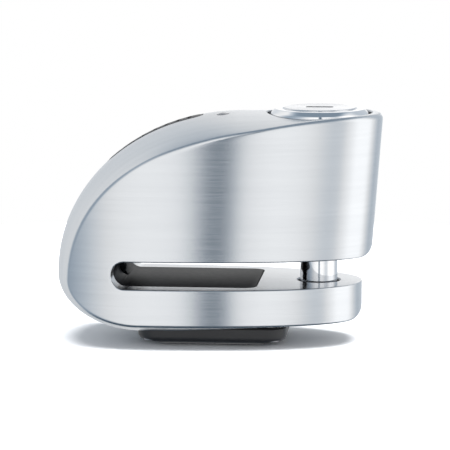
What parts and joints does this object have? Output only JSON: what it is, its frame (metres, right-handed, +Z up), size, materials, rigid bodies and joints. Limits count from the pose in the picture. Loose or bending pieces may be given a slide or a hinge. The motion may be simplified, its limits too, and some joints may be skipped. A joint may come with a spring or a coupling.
{
  "type": "disc brake lock",
  "caption": "Push-down disc brake lock: teardrop steel body with a through slot, a pin driven by a keyed cylinder, a black throat liner and a siren module.",
  "frame": {"origin": "on the surface that the lock stands on, in the middle of its length and width", "axes": "+X along the length towards the cylinder and the slot's mouth, +Y across, +Z up along the cylinder's axis"},
  "size_m": [0.0868, 0.044, 0.0626],
  "materials": {
    "brushed_steel": "cast and brushed stainless steel, horizontal grain, satin",
    "chrome": "hard chrome, polished",
    "face_steel": "fine turned stainless steel",
    "spring_steel": "hardened steel, lightly oiled",
    "brass": "machined brass",
    "cell_can": "nickel-plated cell can",
    "gloss_black": "gloss black moulded plastic",
    "matt_black": "fine textured black plastic",
    "rubber": "matt black rubber",
    "board": "green solder mask on glass fibre",
    "smoked_lens": "smoked clear plastic"
  },
  "bodies": {
    "lock": {"lock_body": "brushed_steel", "throat_liner": "gloss_black", "disc_switch": "matt_black", "sound_grille": "matt_black", "siren": "matt_black", "status_lens": "smoked_lens", "dust_seal": "rubber", "pin_seal": "rubber", "travel_stop": "spring_steel", "circuit_board": "board", "coin_cell_1": "cell_can", "coin_cell_2": "cell_can", "cover_gasket": "rubber", "bottom_cover": "matt_black", "cover_screw_1": "spring_steel", "cover_screw_2": "spring_steel", "cover_screw_3": "spring_steel", "cover_screw_4": "spring_steel", "return_spring": "spring_steel"},
    "cylinder": {"cylinder_sleeve": "brass", "cylinder_cap": "chrome", "lock_pin": "chrome"},
    "plug": {"plug_face": "face_steel", "plug_carrier": "brass", "drill_guard": "spring_steel", "detainer_disc_1": "brass", "detainer_disc_2": "brass", "detainer_disc_3": "brass", "detainer_disc_4": "brass", "detainer_disc_5": "brass", "detainer_disc_6": "brass", "detainer_disc_7": "brass", "detainer_disc_8": "brass", "sidebar": "spring_steel", "driver_cam": "spring_steel"},
    "catch": {"catch_tongue": "spring_steel"},
    "button": {"sensor_button": "gloss_black", "sensor_spring": "spring_steel"}
  },
  "joints": [
    {"name": "cylinder_slide", "type": "slide", "parent": "lock", "child": "cylinder", "axis": [0, 0, 1], "range_m": [0, 0.0116], "deforming": ["return_spring"]},
    {"name": "plug_turn", "type": "hinge", "parent": "cylinder", "child": "plug", "pos_m": [0.0266, 0, 0.0615], "axis": [0, 0, 1], "range_deg": [0, 90]},
    {"name": "catch_slide", "type": "slide", "parent": "cylinder", "child": "catch", "axis": [-0.7071, 0.7071, 0], "range_m": [-0.002, 0]},
    {"name": "button_press", "type": "slide", "parent": "lock", "child": "button", "axis": [-1, 0, 0], "range_m": [0, 0.0014], "stiffness_N_per_m": 150, "springref_m": -0.002}
  ],
  "couplings": [
    {"joint": "catch_slide", "follows": "plug_turn", "m_per_rad": -0.0012732}
  ]
}
